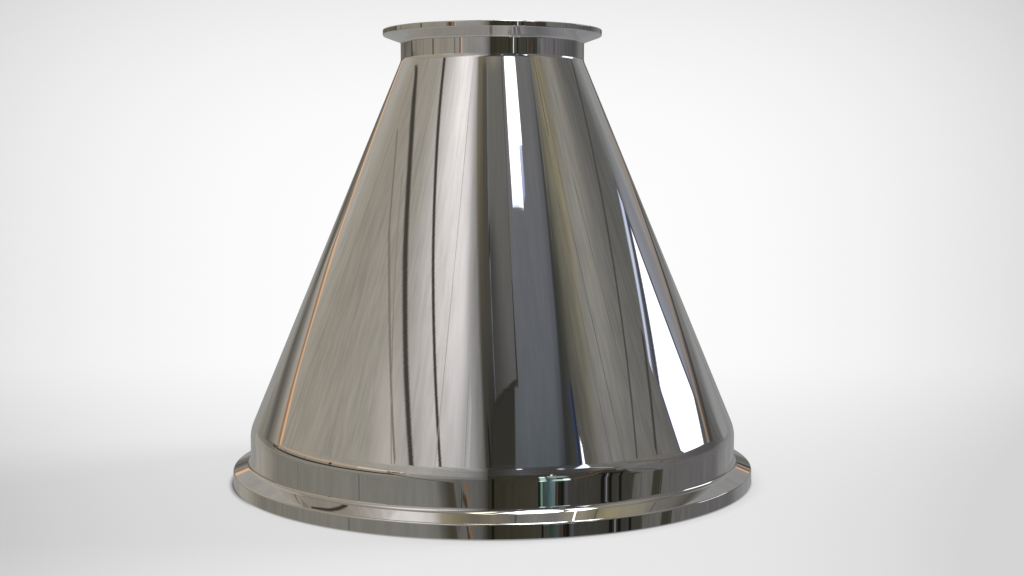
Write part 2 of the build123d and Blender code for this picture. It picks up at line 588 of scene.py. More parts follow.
def hall_coving():
    """Where the walls turn into the ceiling, as the bevel of the large flange mirrors it."""
    ring("hall_coving", (48.6, 48.6), (59, 59), [(-64, 206, 202, 198), (-46, 213, 208, 205),
        (-36, 196, 190, 184), (-30, 140, 132, 114), (-20, 121, 112, 90), (-10, 101, 96, 86),
        (2, 118, 112, 97), (12, 104, 101, 96), (26, 118, 115, 112), (38, 108, 107, 104), (47, 132, 127, 115),
        (55, 134, 126, 112)], 9, soft_low=0.08, soft_high=0.2)
    ring("hall_coving_right", (47.4, 25), (59, 40), [(55, 134, 126, 112), (58, 120, 115, 102),
        (62, 110, 103, 87), (66, 130, 121, 96), (71, 143, 134, 105), (80, 133, 126, 106), (92, 126, 121, 111),
        (98, 108, 105, 99), (110, 100, 97, 93), (118, 90, 87, 80), (124, 79, 75, 68), (129, 88, 86, 80),
        (136, 109, 108, 105), (144, 126, 124, 124)], 9, soft_low=0.04, soft_high=0.2)
    for start, end in [(13.8, 15.2), (62.2, 63.0), (97.8, 98.5)]:
        ends = [(start, 82, 78, 72), (end, 82, 78, 72)]
        ring(f"hall_coving_joint_{start:.0f}", (40, 40), (59, 59), ends, 10)


def left_wall():
    LEFT.course("wall_back", 0.1, 2.6, [(-4.6, 163, 158, 150), (-2, 160, 155, 145), (-1.05, 147, 140, 128)],
        1, grain=0.1)
    LEFT.course("wall_front", 0.1, 2.6, [(-1.05, 143, 136, 125), (0, 150, 145, 135), (0.8, 158, 154, 149),
        (1.3, 144, 142, 139), (1.7, 126, 125, 124), (2, 106, 105, 102), (2.35, 62, 60, 56),
        (2.7, 48, 45, 38)], 1, grain=0.11)
    LEFT.course("wall_foot", -0.06, 0.17, [(-4.6, 132, 129, 122), (-2, 126, 122, 110), (-1.5, 112, 107, 96),
        (-0.8, 130, 124, 113), (0, 138, 132, 121), (0.75, 139, 135, 129), (1.5, 118, 117, 116),
        (2.05, 100, 99, 95), (2.35, 66, 64, 60), (2.7, 45, 42, 35)], 2, soft_high=0.3)
    LEFT.course("wall_skirting", FLOOR_LINE, 0.0, [(-4.6, 151, 149, 142), (-2.2, 148, 143, 133),
        (-1.5, 134, 129, 119), (-1.15, 120, 116, 107), (0.1, 119, 117, 109), (0.8, 117, 115, 110),
        (1.08, 106, 104, 99), (1.35, 90, 88, 85), (1.55, 98, 96, 92), (2, 86, 85, 82), (2.3, 58, 56, 52),
        (2.6, 36, 34, 29)], 3, soft_high=0.1)
    # A dark gap low on the wall, with painted shade that deepens towards it
    LEFT.panel("wall_dark_gap", [(1.19, -0.52), (1.5, -0.52), (1.15, -0.28), (0.88, -0.28)],
        [(0, 104, 102, 97), (0.35, 84, 82, 76), (0.62, 66, 62, 51), (0.85, 65, 61, 50), (1, 78, 75, 68)], 4,
        soft=(0.3, 0.12, 0, 0.08))
    LEFT.glow("wall_glow", (0.55, 1.22), (1.05, 0.72), (235, 229, 227), 2, grain=0.1)
    LEFT.glow("wall_low_glow", (0.28, 0.565), (0.34, 0.11), (176, 170, 162), 3)
    LEFT.glow("wall_side_glow", (1.4, 1.1), (0.95, 0.5), (180, 177, 178), 3, opacity=0.5)
    LEFT.glow("wall_core_glow", (1.06, 1.22), (0.38, 0.34), (234, 228, 228), 3.5, opacity=0.6)
    LEFT.glow("wall_top_glow", (0.4, 1.72), (0.75, 0.6), (220, 214, 210), 4, opacity=0.4)
    LEFT.panel("wall_olive", [(0.6, 1.68), (2.8, 1.4), (2.8, 3.2), (0.6, 3.2)],
        [(0, 128, 120, 102), (0.22, 114, 107, 88), (0.4, 101, 95, 80), (0.62, 70, 68, 62), (1, 46, 45, 41)],
        5, soft=(0.12, 0, 0.09, 0), grain=0.06)
    # Dark slot rails near the top of the wall, a slanting mark beside them and faint joints
    LEFT.rail("rail_upper", [(-1.06, 1.145, 0.025), (-1, 1.115, 0.04), (-0.8, 1.06, 0.046),
        (-0.6, 1.02, 0.045), (-0.32, 0.962, 0.045), (-0.1, 0.875, 0.048), (0.1, 0.861, 0.047),
        (0.45, 0.849, 0.04), (0.95, 0.846, 0.037), (1.5, 0.86, 0.033)], (64, 61, 55), 5, soft=0.35)
    LEFT.rail("rail_lower", [(-1.14, 0.778, 0.004), (-0.95, 0.758, 0.02), (-0.7, 0.725, 0.033),
        (-0.5, 0.705, 0.036), (0, 0.671, 0.043), (0.3, 0.662, 0.041), (0.6, 0.66, 0.037)], (64, 61, 55), 5,
        soft=0.35)
    LEFT.rail("slant", [(-1.27, 1.02, 0.05), (-1.42, 1.17, 0.07), (-1.55, 1.33, 0.05)], (100, 95, 86), 5,
        soft=0.45)
    LEFT.rail("seam", [(-0.9, 0.675, 0.01), (-0.3, 0.605, 0.013), (0.38, 0.587, 0.013)], (122, 114, 104), 5)
    LEFT.rail("seam_branch", [(-0.35, 0.66, 0.01), (0.15, 0.6, 0.01), (0.55, 0.545, 0.008)], (136, 130, 120),
        5)
    LEFT.posts("wall_joint", 0.17, 1.5, [(-1.05, 0.02, 126, 116, 105), (0.86, 0.03, 162, 157, 155)], 5,
        soft=0.5, soft_ends=0.1)
    # Wooden rail that runs down towards the far end, with its shadow below
    LEFT.rail("wood_shade", [(-4.6, 0.38, 0.66), (-3, 0.275, 0.46), (-2.5, 0.242, 0.38), (-2, 0.208, 0.31),
        (-1.5, 0.171, 0.24), (-1.1, 0.15, 0.16)], (108, 104, 97), 4, soft=0.4)
    LEFT.rail("wood_shade_core", [(-4.6, 0.36, 0.26), (-3, 0.25, 0.15), (-2.5, 0.235, 0.12), (-2, 0.21, 0.09),
        (-1.5, 0.172, 0.06), (-1.1, 0.15, 0.05)], (91, 88, 82), 5, soft=0.45)
    LEFT.rail("wood_light", [(-4.6, 0.93, 0.12), (-4, 0.8, 0.11), (-3.5, 0.685, 0.1), (-3, 0.585, 0.08),
        (-2.5, 0.509, 0.062), (-2, 0.429, 0.042), (-1.5, 0.328, 0.027), (-1.1, 0.268, 0.026)],
        (208, 170, 134), 5)
    LEFT.rail("wood", [(-4.6, 0.82, 0.12), (-4, 0.69, 0.11), (-3.5, 0.595, 0.09), (-3, 0.52, 0.07),
        (-2.5, 0.458, 0.056), (-2, 0.39, 0.042), (-1.5, 0.305, 0.028), (-1.1, 0.25, 0.024)], (150, 109, 76),
        6)
    LEFT.rail("wood_end", [(-1.1, 0.262, 0.04), (-0.8, 0.225, 0.09), (-0.3, 0.185, 0.12), (0.1, 0.165, 0.12)],
        (180, 154, 126), 6, soft=0.4)
    LEFT.rail("wood_tip", [(0.1, 0.165, 0.12), (0.3, 0.16, 0.11), (0.55, 0.15, 0.08)], (208, 188, 170), 6,
        soft=0.4)
    LEFT.rail("dark_line", [(-1.24, 0.125, 0.03), (-1.12, 0.09, 0.06), (-0.8, 0.06, 0.085),
        (-0.5, 0.04, 0.085), (-0.2, 0.03, 0.08), (0.46, 0.018, 0.07)], (50, 46, 39), 6)
    # A slanting brace with a wooden edge at its foot
    LEFT.rail("brace", [(0.4, 0.05, 0.06), (0.75, -0.13, 0.04), (1.12, -0.29, 0.035)], (66, 62, 54), 6)
    LEFT.posts("brace_foot", -0.47, -0.405, [(1.435, 0.03, 46, 42, 38), (1.39, 0.015, 74, 71, 67)], 6,
        soft=0.3, soft_ends=0.25)
    LEFT.rail("brace_wood", [(1.44, -0.395, 0.02), (1.56, -0.437, 0.028), (1.62, -0.47, 0.028),
        (1.66, -0.505, 0.03), (1.8, -0.568, 0.03)], (114, 93, 72), 5, soft=0.35)
    LEFT.rail("brace_wood_edge",
        [(1.46, -0.425, 0.02), (1.56, -0.458, 0.026), (1.66, -0.524, 0.028), (1.8, -0.59, 0.028)],
        (64, 54, 42), 6, soft=0.35)
    LEFT.posts("end_joint", 1.08, 1.32, [(1.535, 0.13, 171, 168, 168), (1.44, 0.035, 134, 131, 131)], 5,
        soft=0.5, soft_ends=0.2)
    LEFT.posts("low_joint", FLOOR_LINE, -0.12, [(0.11, 0.016, 98, 96, 91), (-0.62, 0.012, 108, 104, 96)], 5)
    LEFT.posts("mid_joint", 0.06, 0.17, [(-1.25, 0.17, 74, 68, 54), (-0.863, 0.05, 104, 98, 86),
        (-0.48, 0.02, 112, 106, 94), (-0.165, 0.045, 66, 64, 59), (0.4, 0.05, 106, 104, 99)], 7, soft=0.3,
        soft_ends=0.15)
    LEFT.posts("neck_joint", 0.075, 0.115, [(0.55, 0.05, 112, 84, 66), (0.605, 0.04, 196, 168, 148)], 7,
        soft=0.3, soft_ends=0.1)
    LEFT.posts("brown_joint", 0.096, 0.15, [(0.47, 0.12, 92, 64, 42)], 7, soft=0.25, soft_ends=0.1)


def right_wall():
    RIGHT.course("wall_middle", 0.12, 1.1, [(-3.4, 60, 60, 58), (-2.2, 72, 70, 68), (-1.9, 98, 95, 92),
        (-1.2, 106, 104, 102), (-0.7, 112, 110, 106), (-0.1, 92, 91, 88), (0.2, 92, 92, 91),
        (0.32, 114, 114, 113), (0.55, 138, 138, 137), (1, 140, 139, 138)], 1, grain=0.12)
    RIGHT.course("wall_upper", 0.56, 1.5, [(-3.4, 70, 68, 66), (-2.2, 92, 90, 88), (-1.9, 104, 102, 99),
        (-1.2, 124, 122, 118), (-0.7, 136, 133, 126), (-0.45, 132, 128, 121), (-0.1, 88, 87, 83),
        (0.2, 88, 87, 85), (0.6, 140, 140, 139), (1, 145, 144, 143)], 2, soft_low=0.3, grain=0.12)
    RIGHT.course("wall_olive", 0.9, 1.75, [(-3.4, 56, 56, 56), (-2, 82, 81, 75), (-1.5, 104, 101, 89),
        (-1.1, 132, 125, 104), (-0.6, 116, 111, 97), (-0.2, 98, 94, 82), (0.1, 84, 80, 71), (0.5, 96, 92, 82),
        (1, 130, 126, 118)], 3, soft_low=0.35, grain=0.12)
    RIGHT.course("wall_high", 1.45, 2.8, [(-3.4, 54, 54, 52), (-2.4, 60, 60, 55), (-1.9, 74, 72, 62),
        (-1.5, 98, 93, 77), (-1.1, 132, 125, 104), (-0.7, 134, 127, 106), (-0.2, 122, 115, 97),
        (0.3, 120, 114, 98), (1, 130, 124, 114)], 4, soft_low=0.2)
    RIGHT.panel("wall_foot", [(-1.5, -0.16), (1, -0.16), (1, 0.2), (-1.18, 0.2)], [(0, 104, 103, 104),
        (0.3, 101, 99, 101), (0.45, 92, 90, 90), (0.56, 82, 81, 81), (0.66, 80, 79, 77), (0.8, 112, 111, 109),
        (1, 118, 116, 112)], 2, soft=(0.02, 0, 0, 0.2), grain=0.12)
    RIGHT.course("wall_skirting", FLOOR_LINE, 0.0, [(-2.4, 56, 54, 46), (-1.45, 50, 50, 46),
        (-1.25, 62, 63, 54), (-1.1, 84, 84, 78), (-0.8, 97, 96, 92), (0.25, 97, 95, 96), (0.4, 122, 121, 121),
        (0.6, 133, 132, 132), (1, 138, 137, 137)], 3, soft_high=0.08, grain=0.12)
    # Leaning dark gaps of the shelving along the wall's foot, and the dark edge above them
    RIGHT.rail("shade_line",
        [(-1.22, 0.12, 0.05), (-1, 0.03, 0.05), (-0.75, -0.125, 0.05), (-0.6, -0.2, 0.07)], (74, 74, 66), 5,
        soft=0.35)
    for i, (middle, lean, width, *colour) in enumerate([
        (-1.07, 0.17, 0.26, 50, 51, 43), (-0.66, 0.11, 0.13, 56, 56, 47), (-0.6, 0.11, 0.012, 38, 38, 34),
        (-0.86, 0.11, 0.012, 78, 77, 72), (-0.5, 0.11, 0.015, 88, 87, 85),
    ]):
        RIGHT.strip(f"leaning_gap_{i}", -0.4, -0.22, middle - lean, middle + lean, width, colour, 6,
                    soft=(0.2, 0.2, 0, 0.15))
    RIGHT.rail("rail_upper", [(-0.82, 0.565, 0.014), (-0.3, 0.525, 0.018), (0.25, 0.475, 0.018)],
        (70, 69, 66), 5)
    RIGHT.rail("rail_lower", [(-0.52, 0.43, 0.016), (-0.22, 0.405, 0.016)], (64, 62, 58), 6)
    RIGHT.posts("wall_joint", 0.55, 1.6,
        [(-1.02, 0.03, 96, 93, 84), (-1.28, 0.025, 94, 91, 82), (-1.75, 0.03, 80, 78, 72)], 5, soft=0.5,
        soft_ends=0.2)
    RIGHT.posts("wall_short_joint", 0.55, 0.85, [(-0.665, 0.02, 94, 92, 88)], 5, soft=0.5, soft_ends=0.1)
    RIGHT.rail("brown_shade",
        [(-1.05, 0.48, 0.14), (-0.8, 0.34, 0.15), (-0.5, 0.16, 0.13), (-0.36, 0.12, 0.05)], (98, 88, 79), 4,
        soft=0.5)
    # A wooden rail and its dark line run from the window towards the near end
    RIGHT.rail("wood", [(0.13, 0.158, 0.016), (0.25, 0.163, 0.022), (0.4, 0.175, 0.035), (0.6, 0.195, 0.06),
        (0.85, 0.215, 0.09), (1, 0.225, 0.12)], (144, 128, 114), 6, soft=0.45)
    RIGHT.rail("wood_dark", [(0.1, 0.155, 0.016), (0.3, 0.153, 0.012)], (96, 80, 64), 5)
    RIGHT.rail("dark_line",
        [(0.12, 0.143, 0.02), (0.3, 0.14, 0.03), (0.5, 0.143, 0.035), (0.75, 0.15, 0.045), (1, 0.16, 0.05)],
        (64, 62, 60), 4.5, soft=0.45)
    RIGHT.panel("foot_light", [(0.46, -0.08), (1, -0.08), (1, 0.1), (0.42, 0.1)],
        [(0, 138, 138, 138), (1, 139, 139, 138)], 4, soft=(0.12, 0.3, 0.5, 0.3))
    RIGHT.posts("neck_joint", 0.07, 0.115, [(-0.55, 0.04, 58, 58, 52), (-0.4, 0.02, 84, 83, 82)], 7, soft=0.3,
        soft_ends=0.25)
    # Side window, its frame and the cool fringe of daylight round it
    WINDOW.panel("fringe", [(0.22, 0.16), (0.6, 0.16), (0.6, 0.36), (0.22, 0.36)],
        [(0, 138, 140, 150), (0.5, 127, 127, 133), (1, 130, 130, 132)], 5, soft=(0.03, 0.5, 0.2, 0.3))
    WINDOW.panel("shade", [(-0.27, 0.17), (0.235, 0.17), (0.235, 0.375), (-0.27, 0.4)],
        [(0, 104, 105, 110), (0.1, 84, 85, 92), (1, 80, 81, 86)], 5, soft=(0.15, 0, 0.2, 0.05))
    WINDOW.panel("frame", [(-0.24, 0.175), (0.235, 0.172), (0.235, 0.352), (-0.24, 0.373)],
        [(0, 72, 78, 104), (0.06, 66, 68, 78), (0.95, 72, 73, 80), (1, 92, 96, 108)], 6,
        soft=(0.03, 0.03, 0.04, 0.04))
    WINDOW.rail("head",
        [(-0.255, 0.389, 0.018), (-0.1, 0.379, 0.022), (0.05, 0.369, 0.028), (0.215, 0.356, 0.024)],
        (196, 204, 224), 7, soft=0.4)
    WINDOW.panel("", [(-0.223, 0.184), (0.212, 0.181), (0.205, 0.336), (-0.223, 0.358)],
        [(0, 214, 228, 252), (0.05, 250, 252, 255), (0.95, 252, 254, 255), (1, 214, 226, 248)], 8, gain=1.5,
        soft=(0.02, 0.04, 0.05, 0.05))


def far_end():
    FAR.course("end_low", FLOOR_LINE, 0.19, [(-0.43, 47, 44, 35), (-0.1, 56, 53, 44), (0.12, 60, 58, 54),
        (0.3, 60, 59, 55), (0.44, 58, 56, 50), (0.6, 50, 49, 45), (0.72, 58, 56, 52)], 7, soft_high=0.04,
        grain=0.14)
    FAR.panel("end_low_right", [(0.72, -0.45), (0.94, -0.45), (1.1, -0.18), (0.72, -0.18)],
        [(0, 57, 55, 50), (1, 58, 57, 50)], 7, soft=(0, 0.12, 0, 0.15), grain=0.14)
    FAR.panel("end_low_corner", [(0.72, -0.26), (1, -0.26), (0.84, 0.16), (0.72, 0.16)],
        [(0, 57, 55, 50), (1, 60, 58, 52)], 7, soft=(0, 0.2, 0.1, 0.3), grain=0.14)
    FAR.course("end_high", 0.05, 0.61, [(-0.43, 52, 50, 46), (-0.3, 58, 56, 53), (-0.15, 74, 74, 77),
        (0, 68, 69, 71), (0.15, 64, 64, 62), (0.3, 66, 66, 67), (0.38, 66, 65, 66), (0.44, 78, 76, 72),
        (0.5, 98, 96, 92), (0.7, 105, 103, 98)], 6, soft_high=0.1, grain=0.14)
    # Glass door with its bright edges, shelves and dark gaps
    FAR.posts("low_post", FLOOR_LINE, -0.02, [(-0.385, 0.03, 24, 24, 18), (-0.01, 0.02, 24, 26, 23),
        (0.148, 0.05, 32, 30, 26), (0.178, 0.03, 22, 22, 19), (0.212, 0.026, 70, 74, 78),
        (0.56, 0.05, 22, 22, 19), (0.606, 0.022, 110, 109, 114), (0.652, 0.05, 22, 22, 19),
        (0.79, 0.05, 24, 24, 20)], 8)
    FAR.panel("glass_low", [(0.02, FLOOR_LINE), (0.12, FLOOR_LINE), (0.12, -0.25), (0.02, -0.25)],
        [(0, 50, 60, 55), (0.3, 47, 55, 50), (0.7, 60, 68, 66), (1, 64, 64, 62)], 9, soft=(0.05, 0.1, 0, 0),
        grain=0.25)
    FAR.panel("glass", [(0.02, -0.25), (0.12, -0.25), (0.125, 0.02), (0.02, 0.02)],
        [(0, 58, 70, 67), (0.4, 64, 78, 78), (0.8, 88, 108, 112), (1, 96, 112, 112)], 9,
        soft=(0.05, 0.05, 0, 0.05), grain=0.25)
    FAR.panel("glass_edge", [(0.004, -0.25), (0.02, -0.25), (0.018, -0.22), (0, -0.22)], (106, 136, 126), 9,
        soft=(0.2, 0.2, 0, 0))
    FAR.posts("brown_edge", FLOOR_LINE, -0.1, [(0.136, 0.012, 78, 60, 48)], 10)
    FAR.panel("pale_shelf", [(0.03, -0.05), (0.24, -0.07), (0.22, 0.055), (0.02, 0.045)],
        [(0, 136, 152, 150), (1, 132, 144, 150)], 10, soft=0.3)
    FAR.panel("bright_edge", [(-0.008, -0.22), (0.06, -0.22), (0.035, 0.035), (-0.022, 0.035)],
        [(0, 164, 196, 190), (1, 158, 188, 184)], 11, soft=(0.25, 0.3, 0.1, 0.15))
    FAR.panel("bright_shelf", [(0.07, -0.215), (0.2, -0.225), (0.17, -0.1), (0.09, -0.1)],
        [(0, 158, 184, 182), (1, 186, 210, 212)], 11, soft=(0.3, 0.2, 0.15, 0.4))
    for i, (low, high, foot, head, width) in enumerate([
        (-0.205, -0.165, 0.012, 0.008, 0.055), (-0.01, 0.035, 0.01, 0.006, 0.06),
        (-0.22, -0.1, 0.215, 0.2, 0.085),
    ]):
        FAR.strip(f"highlight_{i}", low, high, foot, head, width, (232, 250, 246), 12, gain=1.3, soft=0.3)
    FAR.rail("cream_line", [(0.05, 0.045, 0.04), (0.12, 0.058, 0.02)], (176, 176, 152), 11, soft=0.35)
    FAR.panel("light_slit", [(0.07, 0.055), (0.092, 0.055), (0.1, 0.17), (0.08, 0.17)],
        [(0, 206, 212, 186), (0.5, 246, 246, 228), (1, 206, 210, 186)], 12, soft=(0.2, 0.2, 0.1, 0.6))
    FAR.posts("neck_post", 0.065, 0.11, [(-0.01, 0.06, 44, 46, 38), (0.125, 0.04, 68, 73, 61),
        (0.175, 0.04, 38, 37, 36), (0.385, 0.02, 38, 31, 28), (0.425, 0.035, 92, 64, 50)], 10, soft_ends=0.25)
    FAR.panel("small_lamp", [(-0.185, 0.475), (-0.12, 0.475), (-0.12, 0.545), (-0.185, 0.545)],
        [(0, 216, 228, 246), (1, 226, 236, 250)], 9, gain=1.4, soft=0.3)
    # Narrow window at the far right with its light on the sill, and a blue fringe on its left
    FAR.panel("window_fringe", [(0.355, 0.58), (0.405, 0.58), (0.45, 0.71), (0.385, 0.71)],
        [(0, 58, 60, 64), (0.45, 56, 62, 84), (0.75, 42, 46, 62), (1, 36, 40, 56)], 9,
        soft=(0.3, 0.1, 0.2, 0.2))
    FAR.panel("window", [(0.404, 0.56), (0.452, 0.56), (0.452, 0.632), (0.435, 0.642)],
        [(0, 150, 160, 214), (0.3, 244, 248, 255), (0.8, 255, 255, 255), (1, 206, 214, 236)], 10, gain=1.5,
        soft=(0.15, 0.12, 0.12, 0.04))
    FAR.panel("window_foot", [(0.27, 0.352), (0.475, 0.352), (0.464, 0.58), (0.408, 0.58)],
        [(0, 120, 132, 196), (0.3, 236, 242, 255), (0.75, 255, 255, 255), (1, 150, 162, 214)], 9.5, gain=1.5,
        soft=(0.2, 0.15, 0.12, 0.04))
    FAR.rail("sill", [(0.44, 0.385, 0.03), (0.56, 0.325, 0.04), (0.7, 0.25, 0.02)], (196, 184, 172), 10,
        soft=0.35)
    FAR.rail("brown_sill", [(0.36, 0.1, 0.08), (0.5, 0.16, 0.08), (0.68, 0.215, 0.07), (0.84, 0.23, 0.03)],
        (74, 66, 56), 8, soft=0.4)
    FAR.rail("brown_line", [(0.27, -0.17, 0.04), (0.55, 0.09, 0.04)], (100, 78, 60), 9, soft=0.35)
    FAR.rail("dark_sill", [(0.5, 0, 0.1), (0.66, -0.04, 0.12), (0.84, -0.07, 0.1)], (34, 33, 30), 8, soft=0.4)
    FAR.glow("faint_spot", (0.185, 0.4), (0.05, 0.08), (176, 182, 196), 9)


def near_end():
    NEAR.course("end_high", 0.1, 3.0, [(-1.05, 134, 133, 132), (-0.7, 134, 133, 130), (-0.4, 142, 140, 135),
        (0, 152, 148, 141), (0.217, 158, 153, 145)], 3)
    NEAR.course("end_shade", 0.02, 0.19, [(-1.05, 100, 98, 95), (-0.7, 96, 94, 90), (-0.4, 100, 97, 92),
        (0, 106, 102, 95), (0.217, 108, 104, 96)], 4, soft_low=0.35, soft_high=0.25)
    NEAR.course("end_low", FLOOR_LINE, 0.12, [(-1.05, 137, 136, 136), (-0.8, 132, 132, 131),
        (-0.5, 137, 136, 134), (-0.2, 139, 138, 135), (0.217, 139, 136, 129)], 3)
    NEAR.rail("wood", [(-0.92, 0.295, 0.035), (-0.8, 0.275, 0.03)], (206, 160, 122), 5, soft=0.25)
    NEAR.rail("wood_edge", [(-0.9, 0.262, 0.03), (-0.78, 0.245, 0.03)], (106, 84, 62), 5)
    NEAR.rail("wood_far", [(-0.12, 0.235, 0.035), (0, 0.215, 0.05), (0.217, 0.197, 0.045)], (214, 176, 140),
        5, soft=0.35)
    NEAR.rail("wood_far_edge", [(-0.12, 0.205, 0.025), (0, 0.185, 0.035), (0.217, 0.168, 0.035)],
        (132, 106, 84), 5, soft=0.35)
    NEAR.rail("dark_line", [(-0.92, 0.2, 0.05), (-0.7, 0.19, 0.05)], (66, 63, 58), 5)
    NEAR.rail("dark_line_far", [(-0.12, 0.13, 0.03), (0.02, 0.108, 0.06), (0.217, 0.1, 0.05)], (84, 80, 72),
        5, soft=0.45)


def ceiling():
    CEILING.panel("", [(-0.34, -0.2), (-0.52, 1.8), (0.42, 1.8), (0.86, -0.2)], [(0, 128, 125, 120),
        (0.46, 120, 118, 114), (0.55, 106, 105, 104), (0.69, 99, 100, 105), (0.85, 89, 93, 97),
        (0.92, 80, 85, 88), (1, 70, 74, 77)], 5, grain=0.06)
    CEILING.panel("beyond", [(-0.95, -1.1), (-0.34, -0.19), (0.86, -0.19), (1, -1.1)], (128, 122, 112), 4,
        grain=0.06)
    CEILING.panel("left_shade", [(-0.2, 1.15), (-0.45, 1.78), (-0.06, 1.78), (0, 1.15)],
        [(0, 94, 95, 97), (0.5, 82, 86, 87), (1, 66, 69, 72)], 6, soft=(0.3, 0, 0, 0.8), opacity=0.8)
    CEILING.panel("right_shade", [(0.58, 0.7), (0.44, 1.75), (0.28, 1.75), (0.46, 0.7)],
        [(0, 97, 98, 99), (0.6, 84, 86, 92), (1, 50, 52, 54)], 6, soft=(0.3, 0, 0, 0.7))
    CEILING.panel("left_wall_edge", [(-0.52, 0.5), (-0.68, 1.6), (-0.56, 1.6), (-0.43, 0.5)],
        [(0, 118, 111, 92), (0.35, 88, 82, 70), (0.6, 66, 64, 58), (1, 42, 41, 37)], 6,
        soft=(0.2, 0, 0.4, 0.1))
    CEILING.panel("left_slot", [(-0.49, 0.5), (-0.58, 1.5), (-0.475, 1.5), (-0.41, 0.5)],
        [(0, 90, 87, 78), (0.35, 76, 74, 69), (0.65, 66, 65, 60), (0.85, 48, 47, 44), (1, 42, 41, 38)], 7,
        soft=(0.2, 0, 0.2, 0.15))
    CEILING.panel("left_dark", [(-0.62, 1.42), (-0.67, 1.85), (-0.33, 1.85), (-0.26, 1.54)],
        [(0, 56, 53, 49), (1, 50, 49, 45)], 7.5, soft=(0.05, 0, 0, 0.1))
    CEILING.posts("left_black", 1.3, 1.5, [(-0.585, 0.03, 30, 30, 27)], 8, soft=0.4, soft_ends=0.3)
    CEILING.panel("right_edge", [(0.615, 0.7), (0.52, 1.75), (0.38, 1.75), (0.57, 0.7)],
        [(0, 84, 82, 72), (0.5, 56, 57, 55), (1, 46, 47, 48)], 7, soft=(0.3, 0, 0.3, 0.4))
    # A framed hatch and the dark box beyond it
    CEILING.panel("box", [(-0.56, 1.47), (-0.5, 1.32), (-0.19, 1.365), (-0.265, 1.56)],
        [(0, 50, 49, 44), (1, 48, 47, 43)], 8, soft=(0.1, 0, 0, 0.08))
    CEILING.rail("hatch_end", [(-0.47, 1.335, 0.02), (-0.165, 1.375, 0.02)], (46, 45, 42), 9)
    CEILING.panel("hatch_side", [(-0.12, 0.75), (-0.178, 1.385), (-0.156, 1.385), (-0.104, 0.75)],
        [(0, 80, 79, 74), (0.4, 60, 59, 55), (1, 47, 46, 43)], 9, soft=(0.1, 0, 0.25, 0.25))
    CEILING.panel("hatch", [(-0.4, 0.6), (-0.465, 1.33), (-0.175, 1.365), (-0.125, 0.6)],
        [(0, 112, 108, 98), (0.5, 97, 96, 93), (1, 88, 87, 86)], 6, soft=(0.2, 0, 0.02, 0), grain=0.05)
    CEILING.panel("hatch_shade", [(-0.43, 0.95), (-0.465, 1.33), (-0.17, 1.36), (-0.34, 0.95)],
        [(0, 66, 65, 62), (1, 64, 63, 61)], 6.5, soft=(0.3, 0, 0, 1))
    CEILING.panel("hatch_spot", [(-0.44, 0.98), (-0.47, 1.06), (-0.44, 1.06), (-0.42, 0.98)], (48, 46, 42), 8,
        soft=0.3)
    # Ceiling lamps
    LAMP.panel("far", [(-0.057, 0.8), (-0.063, 1.01), (0.192, 1.01), (0.222, 0.8)], (252, 254, 255), 10,
        gain=1.6, soft=(0.02, 0, 0.03, 0.03))
    LAMP.panel("far_end", [(-0.062, 0.99), (-0.066, 1.08), (0.122, 1.107), (0.13, 0.99)],
        [(0, 252, 254, 255), (0.5, 252, 254, 255), (1, 220, 228, 252)], 10, gain=1.6,
        soft=(0, 0.05, 0.04, 0.03))
    LAMP.panel("far_corner", [(0.125, 0.99), (0.115, 1.102), (0.172, 1.09), (0.198, 0.99)],
        [(0, 198, 204, 234), (1, 150, 158, 196)], 9, soft=(0, 0.1, 0, 0.35))
    LAMP.panel("middle", [(0.03, -0.06), (-0.05, 0.6), (0.225, 0.6), (0.31, -0.06)], (255, 255, 253), 10,
        gain=1.3 * LAMP_GAIN)
    LAMP.panel("left", [(-0.13, -0.04), (-0.205, 0.5), (-0.14, 0.5), (-0.07, -0.04)], (255, 250, 222), 10,
        gain=0.9 * LAMP_GAIN, soft=(0.1, 0.1, 0.25, 0.2))
    LAMP.panel("right", [(0.34, -0.06), (0.285, 0.56), (0.43, 0.56), (0.47, -0.06)], (255, 254, 246), 10,
        gain=LAMP_GAIN)
    LAMP.panel("tube", [(0.343, 0.68), (0.412, 0.77), (0.422, 0.762), (0.352, 0.672)], (255, 253, 240), 10,
        gain=LAMP_GAIN)


def hall():
    backing_sphere()
    hall_floor()
    hall_coving()
    left_wall()
    right_wall()
    near_end()
    far_end()
    ceiling()


# Floor, background and light

# A display level is the linear light to the power of one over this
DISPLAY_POWER = 2.2
FLOOR_RADIUS = 15.0
FLOOR_DROP = 0.0001
FLOOR_TINT = 0.2
BORE_FLOOR_TINT = 0.75
AMBIENT = 0.6
WINDOW_AZIMUTHS = (101, 110, 119)
WINDOW_ELEVATION = 15.0
WINDOW_ANGLE = 10.0
WINDOW_SHARE = 0.383
# The background is palest behind the part and dims towards the sides and the top: by how much
# at which distance, and the distance from which it dims no further
PALEST = 0.996
PALEST_AT = (-0.015, -0.07)
SIDE_FALL = (0.086, 0.32, 0.36)
TOP_FALL = (0.063, 0.178, 0.22)
# The floor dims from the back to the front, and close to the flange: how dark, how far it
# reaches, and over which run of x the shade sets in
FRONT_RUN = (0.38, -0.14)
FRONT_FALL = 0.083
DIMMEST_FLOOR = 0.832
CONTACT_SHADES = (
    (0.14, 0.0009, None),
    (0.32, 0.0026, (-0.088, -0.107)),
    (0.045, 0.0065, (-0.06, 0.06)),
)


def fall(s, distance, amount, at, limit):
    """Dimming that grows with the third power of a distance, up to a limit."""
    return s.times(s.math("POWER", s.math("MINIMUM", distance, limit), 3.0), amount / at**3)


